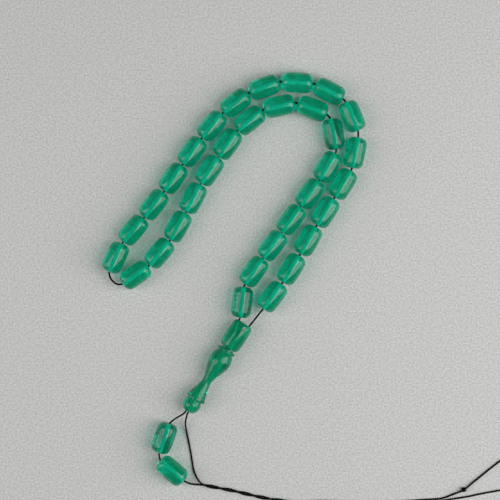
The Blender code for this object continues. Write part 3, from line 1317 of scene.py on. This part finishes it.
    def lay_along(
        self, name: str, line: list[Vector], finish: bpy.types.Material, taper: float = 1.0
    ) -> bpy.types.Object:
        """Lays a twisted thread along a line.

        Args:
            name: The thread's name.
            line: The corners of its middle line.
            finish: Its material.
            taper: How thick its two tips are, as a share of the rest.

        Returns:
            The thread, as a closed mesh.
        """
        lengths = [0.0]
        for a, b in zip(line, line[1:]):
            lengths.append(lengths[-1] + (b - a).length)
        steps = max(8, round(lengths[-1] / self.step))
        section = self.profile()
        curve = bpy.data.curves.new(name, "CURVE")
        curve.dimensions = "3D"
        curve.bevel_mode = "OBJECT"
        curve.bevel_object = section
        curve.use_fill_caps = True
        spline = curve.splines.new("POLY")
        spline.points.add(steps)
        corner = 0
        for k, point in enumerate(spline.points):
            distance = lengths[-1] * k / steps
            while corner < len(line) - 2 and lengths[corner + 1] < distance:
                corner += 1
            span = lengths[corner + 1] - lengths[corner]
            place = line[corner].lerp(line[corner + 1], (distance - lengths[corner]) / span)
            point.co = (*place, 1.0)
            point.tilt = 2 * math.pi * distance / self.lay
            from_tip = min(k, steps - k) / (steps * self.tip_share)
            point.radius = taper + (1 - taper) * min(1.0, from_tip)
        drawn = bpy.data.objects.new(name, curve)
        bpy.context.scene.collection.objects.link(drawn)
        only(drawn)
        bpy.ops.object.convert(target="MESH")
        thread = bpy.context.object
        thread.name = thread.data.name = name
        bpy.data.objects.remove(section)
        self.close(thread)
        thread.data.materials.clear()
        thread.data.materials.append(finish)
        return thread

    def close(self, thread: bpy.types.Object) -> None:
        """Joins a drawn thread's tips to its side, with every face pointing out and shaded smooth.

        Args:
            thread: The thread, as a mesh.
        """
        only(thread)
        bpy.ops.object.mode_set(mode="EDIT")
        bpy.ops.mesh.select_all(action="SELECT")
        bpy.ops.mesh.remove_doubles(threshold=WELD)
        bpy.ops.mesh.select_all(action="SELECT")
        bpy.ops.mesh.normals_make_consistent(inside=False)
        bpy.ops.object.mode_set(mode="OBJECT")
        bpy.ops.object.shade_smooth_by_angle(angle=math.radians(60))  # wider than a lobe's turn

    def build_loop(self, leader: Leader) -> bpy.types.Object:
        """Strings the loop: up through the leader, round every bead, and back down the leader.

        Args:
            leader: The leader that holds both ends.

        Returns:
            The loop's thread.
        """
        route = Route([Vector((x * MM, y * MM, self.bead_axis_height)) for x, y in self.LOOP_ROUTE])
        seats = [Seat.of_node(node, joint_axis(node)) for node in LOOP_BEADS]
        line = leader.strand_through(-1) + route.strung(seats) + leader.strand_through(1)[::-1]
        past_mouth = leader.down() * self.clearance
        line = [line[0] + past_mouth] + line + [line[-1] + past_mouth]
        loop = self.lay_along("thread_of_loop", line, self.finish)
        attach(loop, STRAND_BODY)
        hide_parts("loop_thread")
        log.info("thread of the loop: %.1f mm", line_length(line) / MM)
        return loop

    def build_end(
        self, strand: Strand, leader: Leader, seats: list[Seat]
    ) -> bpy.types.Object:
        """Lays one free end.

        Args:
            strand: Which of the two ends.
            leader: The leader that it comes out of.
            seats: Where the pieces that it runs through lie.

        Returns:
            The free end.
        """
        line = self.free_end(strand, leader).strung(seats)
        name = strand.name.lower()
        thread = self.lay_along(f"{name}_thread_end", line, self.finish)
        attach(thread, STRAND_BODY)
        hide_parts(f"tail_thread_{name}")
        log.info("%s end: %.1f mm", name, line_length(line) / MM)
        return thread

    def build_knot(self) -> bpy.types.Object:
        """Coils the overhand knot round the plain end where its frame node lies.

        Returns:
            The knot.
        """
        low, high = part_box("tail_knot")
        centre = (low + high) / 2
        seat = Seat.of_node("tail_knot", self.knot_direction())
        placement = Seat(centre, seat.axis, seat.length).placement()
        reach = seat.length / 2 - self.diameter / 2
        line = []
        for k in range(self.knot_steps + 1):
            share = k / self.knot_steps
            angle = 2 * math.pi * self.knot_turns * share
            swell = 1 + self.knot_swell * (math.sin(math.pi * share) - 0.5)
            round_thread = Vector((math.cos(angle), math.sin(angle), 0)) * self.knot_coil * swell
            line.append(placement @ (round_thread + Vector((0, 0, reach * (2 * share - 1)))))
        knot = self.lay_along("overhand_knot", line, self.knot_finish, taper=self.knot_tips)
        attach(knot, STRAND_BODY)
        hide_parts("tail_knot")
        log.info("knot: %.1f mm long", seat.length / MM)
        return knot

    def knot_direction(self) -> Vector:
        """The plain end's direction at the knot."""
        before, after = self.ENDS[Strand.PLAIN][5], self.ENDS[Strand.PLAIN][7]
        return (self.on_ground(*after) - self.on_ground(*before)).normalized()

    def build(self, leader: Leader, beads: dict[str, bpy.types.Object]) -> None:
        """Makes the whole thread.

        Args:
            leader: The leader that both ends come out of.
            beads: The beads, by the frame nodes they stand for. Not used.
        """
        knot = self.build_knot()
        seats = [Seat.of_node(node, joint_axis(node)) for node in TAIL_BEADS]
        self.build_end(Strand.BEADED, leader, seats)
        self.build_end(Strand.PLAIN, leader, [])
        self.build_loop(leader)


def line_length(line: list[Vector]) -> float:
    """The length of a line through these points."""
    return sum((b - a).length for a, b in zip(line, line[1:]))


# ---------------------------------------------------------------- studio


@dataclass(frozen=True)
class SoftBox:
    """A large flat lamp that faces the strand."""

    name: str
    azimuth: float
    elevation: float
    distance: float
    width: float
    height: float
    radiance: float

    def build(self, target: Vector) -> None:
        """Hangs the lamp.

        Args:
            target: The point that it faces.
        """
        turn, rise = math.radians(self.azimuth), math.radians(self.elevation)
        out = Vector((math.cos(rise), 0, math.sin(rise)))
        out.rotate(Matrix.Rotation(turn, 3, "Z"))
        lamp = bpy.data.lights.new(self.name, "AREA")
        lamp.shape = "RECTANGLE"
        lamp.size, lamp.size_y = self.width, self.height
        lamp.energy = math.pi * self.radiance * self.width * self.height
        hung = bpy.data.objects.new(self.name, lamp)
        bpy.context.scene.collection.objects.link(hung)
        hung.location = target + out * self.distance
        hung.rotation_euler = out.to_track_quat("Z", "Y").to_euler()


@dataclass
class Studio:
    """The table, the lamps and the camera straight above."""

    view_centre: tuple[float, float] = (5.7 * MM, -3.0 * MM)
    view_width: float = 184 * MM
    view_height: float = 3.8 * MM
    lens: float = 100.0
    table_side: float = 3.0
    sky: float = 0.09
    sky_colour: Colour = (0.97, 0.98, 1.0)
    lamps: tuple[SoftBox, ...] = (
        SoftBox("right_soft_box", -10.0, 43.0, 0.7, 0.48, 0.86, 2.9),
        SoftBox("left_soft_box", 184.0, 40.0, 0.7, 0.40, 0.72, 2.0),
    )

    def build_camera(self) -> None:
        """Sets the camera above the strand, looking straight down with +Y at the top."""
        camera = bpy.data.cameras.new("camera_above")
        camera.lens = self.lens
        placed = bpy.data.objects.new("camera_above", camera)
        bpy.context.scene.collection.objects.link(placed)
        away = self.view_width * self.lens / camera.sensor_width
        placed.location = (*self.view_centre, self.view_height + away)
        bpy.context.scene.camera = placed

    def build_table(self) -> None:
        """Lays the table top."""
        bpy.ops.object.select_all(action="DESELECT")
        bpy.ops.mesh.primitive_plane_add(size=self.table_side)
        table = bpy.context.object
        table.name = "table_top"
        table.data.materials.append(PALE_TABLE.material())

    def build_light(self) -> None:
        """Hangs the lamps and lights the room evenly."""
        for lamp in self.lamps:
            lamp.build(Vector((*self.view_centre, 0)))
        world = bpy.data.worlds.new("room")
        world.use_nodes = True
        sky = world.node_tree.nodes["Background"].inputs
        sky["Color"].default_value = opaque(self.sky_colour)
        sky["Strength"].default_value = self.sky
        bpy.context.scene.world = world
        bpy.context.scene.view_settings.view_transform = "Standard"


# ---------------------------------------------------------------- strand


def main() -> None:
    """Builds the studio, the beads, the leader and the thread, in that order."""
    logging.basicConfig(level=logging.INFO, format="%(name)s: %(message)s")
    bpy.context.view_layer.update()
    studio = Studio()
    studio.build_camera()
    studio.build_light()
    studio.build_table()

    clouds, polish, fibre = resin_clouds(), handled_polish(), spun_fibre()
    finishes = {
        Clarity.CLOUDY: CLOUDY_RESIN.material(clouds, polish),
        Clarity.CLEAR: CLEAR_RESIN.material(clouds, polish),
        Clarity.LEADER: LEADER_RESIN.material(clouds, polish),
    }
    beads = BarrelBeads(finishes=finishes, drilled=FROSTED_BORE_AND_PAINTED_GLINT.material()).build()
    leader = Leader(finish=finishes[Clarity.LEADER], drilled=DRILLED_LEADER.material())
    leader.build()
    thread = Thread(finish=BLACK_THREAD.material(fibre), knot_finish=BLACK_KNOT.material(fibre))
    thread.build(leader, beads)


if __name__ == "__main__":
    main()
